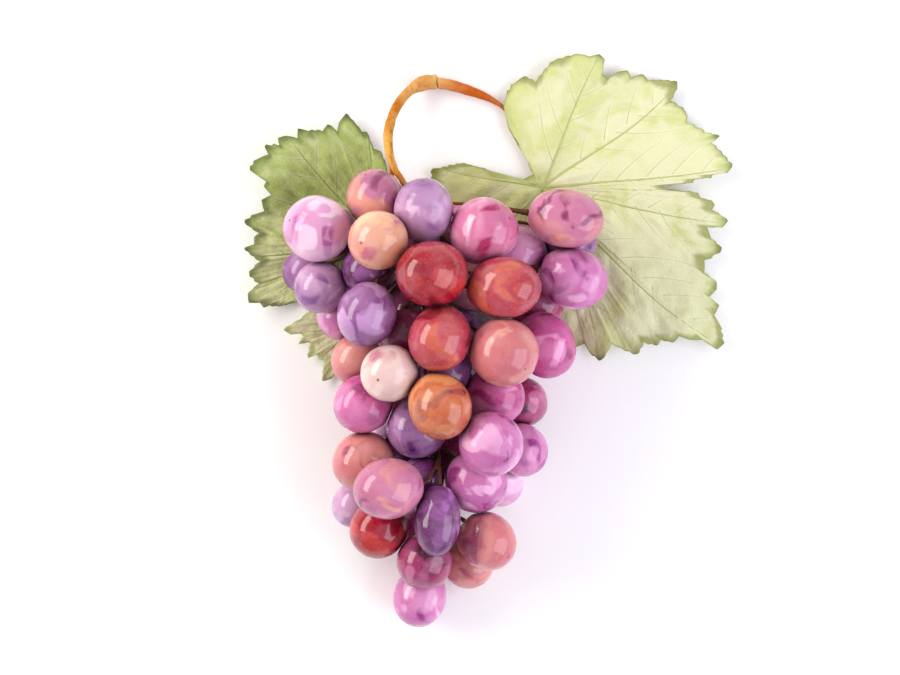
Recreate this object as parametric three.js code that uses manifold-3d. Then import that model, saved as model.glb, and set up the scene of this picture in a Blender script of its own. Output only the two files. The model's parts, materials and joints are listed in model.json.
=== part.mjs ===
// A bunch of red table grapes with its woody stalk and three vine leaves, lying on its back.
// Millimetres. +X is to the right and +Y towards the stalk as seen from above; +Z is up, and the
// bunch rests on Z = 0. The origin is under the middle of the whole object.
//
// Each berry is a solid of its own. It has a seat on the bunch, and a settling loop pushes the
// berries apart until none touches another, the rachis, a petiole, a leaf or the ground. The stalk
// is one piece: elbow, peduncle, rachis and a pedicel to each berry. The pedicels follow the
// shortest way to the rachis through the gaps between the berries, and join where they meet.
import * as THREE from "three";
import { mergeVertices } from "three/addons/utils/BufferGeometryUtils.js";
import Module from "manifold-3d";

const wasm = await Module();
wasm.setup();

// ---------------------------------------------------------------- driving dimensions

const BUNCH = { length: 178, width: 130, depth: 36 }; // depth is from back centres to front centres
const PATTERN = { length: 178, width: 130 }; // the size at which the seats below are laid out
const BERRY = { diameter: 24, segments: 12, bands: 6 };
const CLEARANCE = 0.35; // between any two solids
const PEDUNCLE = { entry: 1.4, middle: 2.1, elbow: 3.4, end: 2.9, sides: 9, steps: 20, beads: 34 };
const RACHIS = { top: 1.8, tip: 1.0, sides: 7, steps: 20, beads: 34 };
const PEDICEL = { radius: 0.8, collar: 1.6, collarLength: 2.5, lean: 0.55, sides: 5 };
const LEAF = { thickness: 0.7, rings: 5, slope: 0.5, ripples: 5 };
const PETIOLE = { thin: 0.8, blade: 0.9, sides: 6, steps: 14, beads: 24 };
const GRID = { cell: 1.25, margin: 0.75 }; // the pedicels find their way on it
const TURNING = { tries: 240, cost: 30, stretchCost: 400 }; // of a berry towards a gap
const SMOOTHING = { rounds: 30, slack: 0.35 }; // of a pedicel's way, once it is found
const SETTLING = { rounds: 900, pull: 0.02, sideways: 0.4, straighten: 0.1, slack: 0.0175 };

const SKIN = {
  pink: 0xdf9fc8, lilac: 0xb78fc4, orchid: 0xd48cc6, mauve: 0xb4628f, rose: 0xcc5c93,
  crimson: 0xa81630, coral: 0xd0605c, amber: 0xd98552, apricot: 0xe2a183, blush: 0xd99490,
  magenta: 0xb53a86, violet: 0x85508f, plum: 0x5b2350, wine: 0x8c355f, shell: 0xe6cfc8,
};
const STALK = { colour: 0xc9862c, roughness: 0.7 };
const BERRY_ROUGHNESS = 0.25;
const LEAF_ROUGHNESS = 0.6;

// ---------------------------------------------------------------- the berries' seats

// [across, down, layer, size, stretch, heading, pitch, skin], in millimetres on the pattern.
// across and down are from where the stalk enters, layer is 0 at the back and 1 at the front, size
// is a share of the berry diameter, stretch is length over diameter, heading is the way the berry's
// tip points in degrees from +X, and pitch is how far the tip is raised towards the front.
const SEATS = [
  [-35, 18.6, 0.55, 1.08, 1.03, 150, 35, "pink"],
  [-11.8, 6.2, 0.5, 0.92, 1.05, 100, 30, "mauve"],
  [8.5, 13.4, 0.72, 0.96, 1.1, 95, 15, "lilac"],
  [-8.2, 26, 0.85, 0.95, 1.04, 170, 50, "apricot"],
  [29.8, 20.8, 0.75, 1.1, 1.04, 40, 40, "rose"],
  [9.8, 41.8, 1.08, 1.05, 1.18, 175, 15, "crimson"],
  [38.6, 42.8, 1.0, 0.99, 1.24, 8, 15, "coral"],
  [64.3, 14.4, 0.62, 0.95, 1.33, -4, 10, "mauve"],
  [67.3, 37.7, 0.42, 1.0, 1.18, -12, 10, "orchid"],
  [48.4, 27.8, 0.12, 0.94, 1.04, 20, -10, "orchid"],
  [-40.4, 35.2, 0.0, 0.74, 1.05, 190, 0, "violet"],
  [-32.2, 41.3, 0.42, 0.84, 1.05, 200, 30, "lilac"],
  [-16.4, 34.8, 0.55, 0.78, 1.04, 220, 50, "plum"],
  [-14.1, 52.4, 0.82, 0.96, 1.1, -85, 25, "violet"],
  [-22.5, 52.5, 0.12, 0.8, 1.05, 200, 0, "orchid"],
  [13.4, 60.2, 0.98, 1.0, 1.12, -115, 25, "coral"],
  [37.5, 66.6, 0.98, 1.1, 1.05, -30, 50, "blush"],
  [55.2, 65.2, 0.4, 0.98, 1.15, -75, 10, "magenta"],
  [-18.2, 71.2, 0.18, 0.82, 1.06, 215, 5, "blush"],
  [-5, 76, 0.95, 0.92, 1.03, -120, 55, "shell"],
  [-15.6, 87.2, 0.5, 0.94, 1.06, 215, 20, "magenta"],
  [15.1, 90.5, 1.02, 1.0, 1.12, -80, 20, "amber"],
  [34.1, 84.2, 0.5, 0.95, 1.05, -30, 30, "magenta"],
  [46.3, 87.4, 0.1, 0.8, 1.05, -45, 0, "wine"],
  [16.4, 72.8, 0.42, 0.84, 1.04, -90, 60, "plum"],
  [4.8, 98.8, 0.45, 1.0, 1.05, -100, 50, "violet"],
  [-13, 109.6, 0.3, 0.98, 1.04, 225, 20, "blush"],
  [31, 106.6, 0.75, 1.03, 1.04, -60, 40, "orchid"],
  [46.4, 105.4, 0.12, 0.83, 1.06, -60, 0, "orchid"],
  [-5.2, 122.2, 0.8, 0.98, 1.19, 190, 20, "mauve"],
  [26, 120.4, 0.45, 1.01, 1.04, -50, 30, "orchid"],
  [37, 119, 0.0, 0.76, 1.05, -60, 0, "pink"],
  [-20.2, 130.4, 0.0, 0.74, 1.06, 230, 0, "lilac"],
  [-8, 140.8, 0.38, 0.94, 1.05, 240, 25, "crimson"],
  [11.6, 132.6, 0.72, 0.74, 1.58, -92, 8, "plum"],
  [31, 138.2, 0.4, 0.93, 1.08, -40, 15, "blush"],
  [5, 149.8, 0.42, 0.9, 1.04, -100, 20, "wine"],
  [25.8, 152.4, 0.0, 0.87, 1.06, -80, 5, "blush"],
  [5.8, 167, 0.05, 0.86, 1.16, -95, 0, "orchid"],
  [-29, 20, 0.0, 0.84, 1.04, 160, -20, "plum"],
  [8, 27, 0.35, 0.86, 1.04, 90, 60, "magenta"],
  [0, 58.8, 0.4, 0.84, 1.04, -90, 60, "wine"],
  [-17, 38, 0, 0.86, 1.05, 200, -40, "violet"],
  [18.5, 20, 0, 0.85, 1.04, 60, -30, "magenta"],
  [-1, 46, 0.28, 0.8, 1.05, 200, 10, "wine"],
  [62, 24, 0, 0.9, 1.06, 0, -20, "violet"],
  [27, 42, 0, 0.95, 1.04, 0, -60, "mauve"],
  [52, 48, 0, 0.92, 1.05, -20, -20, "wine"],
  [23, 61, 0, 0.92, 1.04, -60, -60, "violet"],
  [42, 70, 0, 0.9, 1.05, -30, -40, "magenta"],
  [-6, 80, 0, 0.9, 1.04, 210, -40, "mauve"],
  [26, 90, 0, 0.92, 1.04, -60, -50, "plum"],
  [-5, 106, 0, 0.88, 1.04, 220, -40, "violet"],
  [22, 112, 0, 0.88, 1.04, -60, -50, "wine"],
  [7, 142, 0, 0.74, 1.05, -90, -40, "magenta"],
  [8.5, 118.5, 0.56, 0.72, 1.05, -90, 40, "plum"],
];

// ---------------------------------------------------------------- the stalk's and leaves' courses

// Points are [across, up, height], from where the stalk enters the bunch.
const PEDUNCLE_COURSE = [
  [1, -3, 26], [-1.5, 1.5, 26], [-4.4, 6, 25], [-7, 15.5, 21.5], [-6.2, 25, 16.5],
  [-2.8, 33.2, 10.5], [2, 39, 6], [7.5, 42, 3.9], [12.5, 42.3, 3.6],
];
const RACHIS_COURSE = [
  [1, -3, 26], [4, -22, 27], [10, -42, 25], [17, -62, 24], [20, -80, 22], [17, -100, 21],
  [13, -120, 19], [12, -138, 16], [12, -150, 14],
];

// Each leaf has the place of its junction, where the petiole meets the blade and the main veins
// start, the heights of its blade (at the junction, at the rim, and of its ripples), the course of
// its petiole and the radius of its base, and its outline round the junction, starting beside the
// petiole: [across, up] for each tooth tip and each notch.
const LEAF_PLANS = [
  {
    name: "leaf_right", colour: 0xcfd494, junction: [56, -0.5], lift: [3.5, 8, 3.5], phase: 1,
    base: 2.7,
    petiole: [
      [11.5, 42.3, 3.6], [17, 41.4, 3.9], [24.5, 39.2, 4.2], [33, 36.2, 3.4], [39.4, 32.5, 2.2],
      [46.5, 24, 1.4], [51.5, 13, 1.2], [55, 2, 1.2], [56.5, -2, 1.5],
    ],
    outline: [
      [-4, 5], [-6, 10], [-10, 17], [-14, 24.5], [-16, 33], [-15, 37], [-12, 42], [-8, 45],
      [-3, 42.5], [4, 51], [15, 54], [19, 53], [23, 54], [25, 52], [24, 46], [26.5, 44], [31, 47], [34.5, 47.5],
      [36, 44.5], [41, 46], [43, 43.5], [55, 43], [55, 41], [52, 35], [58, 31], [58.5, 26],
      [66, 22], [72, 20.5], [68.5, 17.5], [77, 8], [75, 5.5], [69, 4.8], [68.5, 3.5], [61.5, 3],
      [61, 1.5], [54, 1], [47, 0.3], [51, -1.5], [63, -2.5], [64, -4.5], [69, -6], [70, -7.5],
      [69, -9.5], [75.5, -14], [73.5, -16.5], [67, -16.5], [68.5, -21], [73, -25.5], [66, -30],
      [66, -35], [71, -39], [71, -42], [68, -45], [72, -48.5], [70, -52.5], [72, -56],
      [73.5, -64.5], [71, -66.5], [65, -62.5], [60, -62.5], [55.5, -61], [53.5, -63.5],
      [48, -62.5], [47, -64.5], [41, -63.5], [38, -68.5], [28, -64], [23.5, -71], [18.5, -67],
      [17, -64], [12.5, -66], [8.5, -62], [3, -60], [-1.5, -54], [-10, -43], [-18, -36],
      [-27, -28], [-36, -16], [-43, -6], [-45, 2], [-45, 7.5], [-41.5, 7.7], [-33, 9.5],
      [-20, 6.2], [-8, 3],
    ],
  },
  {
    name: "leaf_left", colour: 0x9fb060, junction: [-11, -23], lift: [3, 8, 3], phase: 2.5,
    base: 1.3,
    petiole: [
      [-4.5, 9, 19.6], [-5.5, 4, 15], [-7.5, -3, 8], [-9.5, -12, 3.5], [-10.8, -20, 1.3],
      [-11.2, -24, 0.9],
    ],
    outline: [
      [2, 4], [4, 22], [3, 31], [0.5, 37], [-2.5, 38], [-5, 45], [-7, 45], [-13.5, 52.5],
      [-16.5, 48.5], [-17, 45], [-21, 48], [-23, 45], [-28.5, 45], [-33, 46], [-33, 42],
      [-37.5, 43], [-41, 42], [-40.5, 39], [-46.5, 38.5], [-45, 35.5], [-49.5, 33.5],
      [-52.5, 29], [-46, 24.5], [-47, 22.5], [-44, 19], [-48, 17], [-47, 12.5], [-50, 11.5],
      [-55, 8], [-49, 3.5], [-51, 2], [-51, -1], [-55, -2.5], [-48.5, -8], [-53, -13],
      [-49, -17], [-53.5, -21.5], [-53, -25], [-48.5, -25], [-47, -27], [-44.5, -26],
      [-39, -26], [-29.5, -23], [-22, -17.5], [-13, -15], [-5, -15], [3, -12], [9, -6], [10, 2],
      [7, 7],
    ],
  },
  {
    name: "leaf_lower_left", colour: 0xd3d9a4, junction: [-13, -54], lift: [2, 5, 2], phase: 4,
    base: 1.1,
    petiole: [
      [3, -37, 22], [-1, -39.5, 17], [-6, -44, 9], [-10, -49, 3], [-12.6, -53.4, 1.1],
      [-13.5, -55, 0.9],
    ],
    outline: [
      [2, 3], [0, 6], [-5, 6.5], [-14, 5.5], [-24, 4.5], [-30, -0.5], [-37, -5], [-34, -7],
      [-30, -6.5], [-29, -7.5], [-31, -11], [-27.5, -9.8], [-26, -10.5], [-27, -16.5],
      [-23.5, -15], [-22.5, -17], [-20.5, -17.5], [-21, -26], [-17.5, -25], [-14.8, -21.3],
      [-12.6, -19], [-7, -21], [-1, -17], [5, -11], [7, -3], [5, 1],
    ],
  },
];

// ---------------------------------------------------------------- small helpers

const scaleAcross = BUNCH.width / PATTERN.width;
const scaleAlong = BUNCH.length / PATTERN.length;

function place(across, up, height = 0) {
  return new THREE.Vector3(across * scaleAcross, up * scaleAlong, height);
}

function courseCurve(points) {
  return new THREE.CatmullRomCurve3(points.map((point) => place(...point)), false, "centripetal");
}

function asSolid(geometry) {
  const bare = geometry.clone();
  bare.deleteAttribute("normal");
  bare.deleteAttribute("uv");
  const merged = mergeVertices(bare, 1e-4);
  return new wasm.Manifold(new wasm.Mesh({
    numProp: 3,
    vertProperties: new Float32Array(merged.attributes.position.array),
    triVerts: new Uint32Array(merged.index.array),
  }));
}

function asGeometry(solid) {
  const mesh = solid.getMesh();
  const geometry = new THREE.BufferGeometry();
  geometry.setAttribute("position", new THREE.BufferAttribute(mesh.vertProperties, 3));
  geometry.setIndex(new THREE.BufferAttribute(mesh.triVerts, 1));
  return geometry;
}

function joined(solids) {
  return solids.reduce((whole, solid) => whole.add(solid));
}

// A round tube whose radius changes along it. The section has a radius of 1, so the centre that a
// vertex belongs to is the one exactly 1 away.
function taperedTube(curve, radiusAt, sides, steps) {
  const section = new THREE.Shape(Array.from({ length: sides }, (_, i) => {
    const angle = (i / sides) * 2 * Math.PI;
    return new THREE.Vector2(Math.cos(angle), Math.sin(angle));
  }));
  const tube = new THREE.ExtrudeGeometry(section, { steps, extrudePath: curve, bevelEnabled: false });
  const centres = curve.getSpacedPoints(steps);
  const position = tube.attributes.position;
  const vertex = new THREE.Vector3();
  for (let i = 0; i < position.count; i++) {
    vertex.fromBufferAttribute(position, i);
    const misses = centres.map((centre) => Math.abs(centre.distanceTo(vertex) - 1));
    const ring = misses.indexOf(Math.min(...misses));
    vertex.sub(centres[ring]).multiplyScalar(radiusAt(ring / steps)).add(centres[ring]);
    position.setXYZ(i, vertex.x, vertex.y, vertex.z);
  }
  return asSolid(tube);
}

// Straight lines between [position, value] pairs.
function profile(pairs) {
  return (t) => {
    const next = pairs.findIndex(([position]) => position >= t);
    if (next <= 0) {
      return next < 0 ? pairs[pairs.length - 1][1] : pairs[0][1];
    }
    const [t0, v0] = pairs[next - 1];
    const [t1, v1] = pairs[next];
    return v0 + ((v1 - v0) * (t - t0)) / (t1 - t0);
  };
}

// ---------------------------------------------------------------- the berries, and how they settle

function seatedBerry([across, down, layer, size, stretch, heading, pitch, skin], index) {
  const turn = THREE.MathUtils.degToRad(heading);
  const raise = THREE.MathUtils.degToRad(pitch);
  const halfWidth = (BERRY.diameter * size) / 2;
  const seat = place(across, -down, BERRY.diameter / 2 + layer * BUNCH.depth);
  return {
    name: `berry_${String(index + 1).padStart(2, "0")}`,
    skin,
    halfWidth,
    halfLength: halfWidth * stretch,
    seat,
    centre: seat.clone(),
    axis: new THREE.Vector3(
      Math.cos(turn) * Math.cos(raise), Math.sin(turn) * Math.cos(raise), Math.sin(raise)),
  };
}

// How far the berry reaches from its centre along a unit direction.
function reach(berry, direction) {
  const along = direction.dot(berry.axis);
  const gain = berry.halfLength ** 2 - berry.halfWidth ** 2;
  return Math.sqrt(berry.halfWidth ** 2 + gain * along ** 2);
}

// Whether [x, y] is over a leaf's outline, or within a margin of it.
function overLeaf(leaf, x, y, margin) {
  const [jx, jy] = leaf.junction;
  const dx = x / scaleAcross - jx;
  const dy = y / scaleAlong - jy;
  return Math.hypot(dx, dy) < outlineRadius(leaf, Math.atan2(dy, dx)) + margin;
}

// The outline as [angle, radius] about the junction, in the order of the angles.
function rimOf(outline) {
  const rim = outline.map(([x, y]) => [Math.atan2(y, x), Math.hypot(x, y)]);
  return rim.sort((one, other) => one[0] - other[0]);
}

function outlineRadius(leaf, angle) {
  const rim = leaf.rim;
  const next = rim.findIndex(([rimAngle]) => rimAngle > angle);
  const [a1, r1] = rim[next < 0 ? 0 : next];
  const [a0, r0] = rim[(next <= 0 ? rim.length : next) - 1];
  const span = (a1 - a0 + 2 * Math.PI) % (2 * Math.PI);
  const share = ((angle - a0 + 2 * Math.PI) % (2 * Math.PI)) / span;
  return r0 + (r1 - r0) * share;
}

function groundUnder(berry) {
  const margin = berry.halfWidth / 2;
  const covered = leaves.some((leaf) => overLeaf(leaf, berry.centre.x, berry.centre.y, margin));
  return covered ? LEAF.thickness + CLEARANCE : 0;
}

// Moves two things apart along the line between their centres, less sideways than up and down.
function separate(first, second, gap, firstShare) {
  const line = second.centre.clone().sub(first.centre);
  const distance = line.length();
  line.divideScalar(distance);
  const need = reach(first, line) + reach(second, line) + gap;
  if (distance >= need) {
    return 0;
  }
  const push = new THREE.Vector3(
    line.x * SETTLING.sideways, line.y * SETTLING.sideways, line.z);
  push.multiplyScalar((need - distance) / push.dot(line));
  first.centre.addScaledVector(push, -firstShare);
  second.centre.addScaledVector(push, 1 - firstShare);
  return need - distance;
}

function bead(centre, radius) {
  return { centre, halfWidth: radius, halfLength: radius, axis: new THREE.Vector3(0, 0, 1) };
}

function beadsAlong(curve, count, radiusAt) {
  return curve.getSpacedPoints(count - 1).map((point, i) => bead(point, radiusAt(i / (count - 1))));
}

const rachisRadius = profile([[0, RACHIS.top], [1, RACHIS.tip]]);

// Pushes everything apart, while each berry is drawn to its seat in the first half of the rounds.
// The rachis bends a little to let the berries in.
function settle(berries, rachis, fixed) {
  for (let round = 0; round < SETTLING.rounds; round++) {
    const pull = round < SETTLING.rounds / 2 ? SETTLING.pull : 0;
    for (const berry of berries) {
      berry.centre.lerp(berry.seat, pull);
    }
    for (let i = 1; i < rachis.length - 1; i++) {
      const middle = rachis[i - 1].centre.clone().add(rachis[i + 1].centre).multiplyScalar(0.5);
      rachis[i].centre.lerp(middle, SETTLING.straighten);
    }
    let worst = 0;
    for (let i = 0; i < berries.length; i++) {
      for (let j = i + 1; j < berries.length; j++) {
        worst = Math.max(worst, separate(berries[i], berries[j], CLEARANCE, 0.5));
      }
      for (const joint of rachis) {
        worst = Math.max(worst, separate(berries[i], joint, CLEARANCE, 0.5));
      }
      for (const obstacle of fixed) {
        worst = Math.max(worst, separate(berries[i], obstacle, CLEARANCE, 1));
      }
      const lowest = groundUnder(berries[i]) + reach(berries[i], new THREE.Vector3(0, 0, 1));
      worst = Math.max(worst, lowest - berries[i].centre.z);
      berries[i].centre.z = Math.max(berries[i].centre.z, lowest);
    }
    if (pull === 0 && worst < SETTLING.slack) {
      return;
    }
  }
}

// The lathe turns a half ellipse about the berry's own axis, with the stem end at the bottom.
function berryGeometry(berry) {
  const half = Array.from({ length: BERRY.bands + 1 }, (_, i) => {
    const angle = (i / BERRY.bands) * Math.PI;
    const onAxis = i === 0 || i === BERRY.bands;
    return new THREE.Vector2(
      onAxis ? 0 : berry.halfWidth * Math.sin(angle), -berry.halfLength * Math.cos(angle));
  });
  return new THREE.LatheGeometry(half, BERRY.segments);
}

function berryTurn(berry) {
  return new THREE.Quaternion().setFromUnitVectors(new THREE.Vector3(0, 1, 0), berry.axis);
}

function berrySolid(berry, grow) {
  const grown = {
    ...berry, halfWidth: berry.halfWidth + grow, halfLength: berry.halfLength + grow,
  };
  const geometry = berryGeometry(grown);
  geometry.applyQuaternion(berryTurn(berry));
  geometry.translate(berry.centre.x, berry.centre.y, berry.centre.z);
  return asSolid(geometry);
}

// ---------------------------------------------------------------- the pedicels' ways to the rachis

// A binary heap that gives back the number with the smallest cost first.
class Queue {
  constructor() {
    this.entries = [];
  }

  push(cost, item) {
    const entries = this.entries;
    let at = entries.length;
    entries.push([cost, item]);
    while (at > 0 && entries[(at - 1) >> 1][0] > cost) {
      entries[at] = entries[(at - 1) >> 1];
      at = (at - 1) >> 1;
    }
    entries[at] = [cost, item];
  }

  pop() {
    const entries = this.entries;
    const top = entries[0];
    const last = entries.pop();
    if (entries.length > 0) {
      let at = 0;
      for (;;) {
        let child = 2 * at + 1;
        if (child >= entries.length) {
          break;
        }
        if (child + 1 < entries.length && entries[child + 1][0] < entries[child][0]) {
          child += 1;
        }
        if (entries[child][0] >= last[0]) {
          break;
        }
        entries[at] = entries[child];
        at = child;
      }
      entries[at] = last;
    }
    return top;
  }
}

// A box of cells around the berries. Each holds the room at its middle: the distance to the
// nearest berry or other obstacle.
function makeGrid(berries, obstacles) {
  const box = new THREE.Box3();
  for (const berry of berries) {
    box.expandByPoint(berry.centre);
  }
  box.expandByScalar(BERRY.diameter * GRID.margin);
  box.min.z = LEAF.thickness + CLEARANCE + PEDICEL.radius;
  const count = box.getSize(new THREE.Vector3()).divideScalar(GRID.cell).floor();
  const grid = { low: box.min, nx: count.x, ny: count.y, nz: count.z };
  grid.room = new Float32Array(grid.nx * grid.ny * grid.nz).fill(Infinity);
  for (const thing of [...berries, ...obstacles]) {
    markRoom(grid, thing);
  }
  return grid;
}

function cellMiddle(grid, index) {
  const x = index % grid.nx;
  const y = Math.floor(index / grid.nx) % grid.ny;
  const z = Math.floor(index / (grid.nx * grid.ny));
  return new THREE.Vector3(x, y, z).addScalar(0.5).multiplyScalar(GRID.cell).add(grid.low);
}

function cellAt(grid, point) {
  const at = point.clone().sub(grid.low).divideScalar(GRID.cell).floor();
  const x = THREE.MathUtils.clamp(at.x, 0, grid.nx - 1);
  const y = THREE.MathUtils.clamp(at.y, 0, grid.ny - 1);
  const z = THREE.MathUtils.clamp(at.z, 0, grid.nz - 1);
  return x + grid.nx * (y + grid.ny * z);
}

// The distance from the centre to the surface along the line to a point, from the ellipse formula.
function surfaceDistance(thing, along) {
  return 1 / Math.sqrt((along / thing.halfLength) ** 2 + (1 - along ** 2) / thing.halfWidth ** 2);
}

// The distance from a point to a thing's surface, less than 0 inside it.
function roomBeside(thing, x, y, z) {
  const { centre, axis } = thing;
  const [dx, dy, dz] = [x - centre.x, y - centre.y, z - centre.z];
  const distance = Math.hypot(dx, dy, dz) || GRID.cell / 2;
  const along = (dx * axis.x + dy * axis.y + dz * axis.z) / distance;
  return distance - surfaceDistance(thing, along);
}

function roomAt(point, things) {
  return Math.min(...things.map((thing) => roomBeside(thing, point.x, point.y, point.z)));
}

function markRoom(grid, thing) {
  const far = thing.halfLength + BERRY.diameter / 2;
  const first = thing.centre.clone().addScalar(-far).sub(grid.low).divideScalar(GRID.cell).floor();
  const last = thing.centre.clone().addScalar(far).sub(grid.low).divideScalar(GRID.cell).ceil();
  for (let k = Math.max(0, first.z); k < Math.min(grid.nz, last.z); k++) {
    const z = grid.low.z + (k + 0.5) * GRID.cell;
    for (let j = Math.max(0, first.y); j < Math.min(grid.ny, last.y); j++) {
      const y = grid.low.y + (j + 0.5) * GRID.cell;
      for (let i = Math.max(0, first.x); i < Math.min(grid.nx, last.x); i++) {
        const index = i + grid.nx * (j + grid.ny * k);
        const room = roomBeside(thing, grid.low.x + (i + 0.5) * GRID.cell, y, z);
        grid.room[index] = Math.min(grid.room[index], room);
      }
    }
  }
}

// A step costs its length where the pedicel fits, more where it is tight, and far more in a berry.
function stepWeight(room) {
  const need = PEDICEL.radius + CLEARANCE;
  const tight = 40;
  const inside = 400;
  if (room >= need) {
    return 1;
  }
  return room > 0 ? 1 + tight * (1 - room / need) : tight + inside * -room;
}

// The cheapest way from every cell to the rachis: each cell's cost, and the next cell on its way.
// Reaching the rachis lower down costs more, so that the branches lean towards its tip.
function waysToRachis(grid, rachis) {
  const cost = new Float64Array(grid.room.length).fill(Infinity);
  const next = new Int32Array(grid.room.length).fill(-1);
  const queue = new Queue();
  for (const joint of rachis) {
    const cell = cellAt(grid, joint.centre);
    cost[cell] = PEDICEL.lean * joint.centre.distanceTo(rachis[0].centre);
    queue.push(cost[cell], cell);
  }
  while (queue.entries.length > 0) {
    const [reached, cell] = queue.pop();
    if (reached > cost[cell]) {
      continue;
    }
    const x = cell % grid.nx;
    const y = Math.floor(cell / grid.nx) % grid.ny;
    const z = Math.floor(cell / (grid.nx * grid.ny));
    for (let dz = -1; dz <= 1; dz++) {
      for (let dy = -1; dy <= 1; dy++) {
        for (let dx = -1; dx <= 1; dx++) {
          const [bx, by, bz] = [x + dx, y + dy, z + dz];
          if (bx < 0 || by < 0 || bz < 0 || bx >= grid.nx || by >= grid.ny || bz >= grid.nz) {
            continue;
          }
          const neighbour = bx + grid.nx * (by + grid.ny * bz);
          const step = GRID.cell * Math.hypot(dx, dy, dz) * stepWeight(grid.room[neighbour]);
          if (reached + step < cost[neighbour]) {
            cost[neighbour] = reached + step;
            next[neighbour] = cell;
            queue.push(reached + step, neighbour);
          }
        }
      }
    }
  }
  return { cost, next };
}

// Turns each berry a little, so that its stem end faces a gap with a short way to the rachis. A
// long berry turns less than a round one.
function turnStemEnds(berries, grid, ways) {
  const golden = Math.PI * (3 - Math.sqrt(5));
  for (const berry of berries) {
    const stretch = berry.halfLength / berry.halfWidth;
    const turningCost = TURNING.cost + TURNING.stretchCost * (stretch - 1);
    let best = Infinity;
    let chosen = berry.axis;
    for (let i = 0; i < TURNING.tries; i++) {
      const height = 1 - (2 * i + 1) / TURNING.tries;
      const ring = Math.sqrt(1 - height ** 2);
      const out = new THREE.Vector3(Math.cos(i * golden) * ring, Math.sin(i * golden) * ring, height);
      const facing = -out.dot(berry.axis);
      const start = stemStart(berry, out, PEDICEL.collarLength);
      const score = ways.cost[cellAt(grid, start)] + turningCost * (1 - facing);
      if (score < best) {
        best = score;
        chosen = out.negate();
      }
    }
    berry.axis.copy(chosen);
  }
}

function stemStart(berry, out, distance) {
  const surface = surfaceDistance(berry, out.dot(berry.axis));
  return berry.centre.clone().addScaledVector(out, surface + distance);
}

// Follows each berry's way to the rachis, or to a way already followed, and smooths it.
function pedicelCourses(berries, rachis, obstacles, grid, ways) {
  const followed = new Map();
  const things = [...berries, ...obstacles];
  const ordered = berries.map((berry) => {
    const out = berry.axis.clone().negate();
    const cell = cellAt(grid, stemStart(berry, out, PEDICEL.collarLength));
    return { berry, out, cell };
  });
  ordered.sort((one, other) => ways.cost[one.cell] - ways.cost[other.cell]);
  return ordered.map(({ berry, out, cell }) => {
    const points = [
      stemStart(berry, out, -PEDICEL.collar), stemStart(berry, out, PEDICEL.collarLength),
    ];
    let at = ways.next[cell];
    while (at >= 0 && !followed.has(at)) {
      const middle = cellMiddle(grid, at);
      followed.set(at, middle);
      points.push(middle);
      at = ways.next[at];
    }
    points.push(at >= 0 ? followed.get(at).clone() : nearestCentre(points[points.length - 1], rachis));
    smoothWay(points, things);
    return slackened(points);
  });
}

function nearestCentre(point, beads) {
  const distances = beads.map(({ centre }) => centre.distanceTo(point));
  return beads[distances.indexOf(Math.min(...distances))].centre.clone();
}

// Draws each point towards the middle of its neighbours wherever that leaves the pedicel its room.
function smoothWay(points, things) {
  const need = PEDICEL.radius + CLEARANCE;
  for (let round = 0; round < SMOOTHING.rounds; round++) {
    for (let i = 2; i < points.length - 1; i++) {
      const target = points[i - 1].clone().add(points[i + 1]).multiplyScalar(0.5);
      if (roomAt(target, things) >= Math.min(need, roomAt(points[i], things))) {
        points[i].copy(target);
      }
    }
  }
}

// Leaves out the points that lie within the slack of a straight line between those kept.
function slackened(points) {
  if (points.length < 3) {
    return points;
  }
  const first = points[0];
  const last = points[points.length - 1];
  const line = new THREE.Line3(first, last);
  const onLine = new THREE.Vector3();
  const misses = points.map((point) =>
    line.closestPointToPoint(point, true, onLine).distanceTo(point));
  const worst = misses.indexOf(Math.max(...misses));
  if (misses[worst] < SMOOTHING.slack) {
    return [first, last];
  }
  return [...slackened(points.slice(0, worst + 1)).slice(0, -1), ...slackened(points.slice(worst))];
}

// A way with a ring of the tube at each of its points, however far apart they are.
class Way extends THREE.Curve {
  constructor(points) {
    super();
    this.points = points;
  }

  getPoint(t, target = new THREE.Vector3()) {
    const reached = t * (this.points.length - 1);
    const before = Math.min(Math.floor(reached), this.points.length - 2);
    return target.lerpVectors(this.points[before], this.points[before + 1], reached - before);
  }

  getPointAt(t, target) {
    return this.getPoint(t, target);
  }

  getTangentAt(t, target = new THREE.Vector3()) {
    const at = Math.round(t * (this.points.length - 1));
    const before = this.points[Math.max(at - 1, 0)];
    const after = this.points[Math.min(at + 1, this.points.length - 1)];
    return target.subVectors(after, before).normalize();
  }
}

function pedicelSolid(points) {
  const steps = points.length - 1;
  const atCollarEnd = 1 / steps;
  const radiusAt = (t) => (t < atCollarEnd / 2 ? PEDICEL.collar : PEDICEL.radius);
  return taperedTube(new Way(points), radiusAt, PEDICEL.sides, steps);
}

// ---------------------------------------------------------------- the stalk

const peduncleRadius = profile([
  [0, PEDUNCLE.entry], [0.15, PEDUNCLE.entry], [0.35, PEDUNCLE.middle], [0.8, PEDUNCLE.middle],
  [0.92, PEDUNCLE.elbow], [1, PEDUNCLE.end],
]);

function peduncleTube(grow) {
  const curve = courseCurve(PEDUNCLE_COURSE);
  const end = curve.getPoint(1).addScaledVector(curve.getTangent(1), grow);
  const points = [...curve.points.slice(0, -1), end];
  const longer = new THREE.CatmullRomCurve3(points, false, "centripetal");
  return taperedTube(longer, (t) => peduncleRadius(t) + grow, PEDUNCLE.sides, PEDUNCLE.steps);
}

function rachisTube(rachis, grow) {
  const points = rachis.filter((_, i) => i % 2 === 0 || i === rachis.length - 1);
  const curve = new THREE.CatmullRomCurve3(points.map((joint) => joint.centre), false, "centripetal");
  return taperedTube(curve, (t) => rachisRadius(t) + grow, RACHIS.sides, RACHIS.steps);
}

// ---------------------------------------------------------------- the leaves

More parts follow.
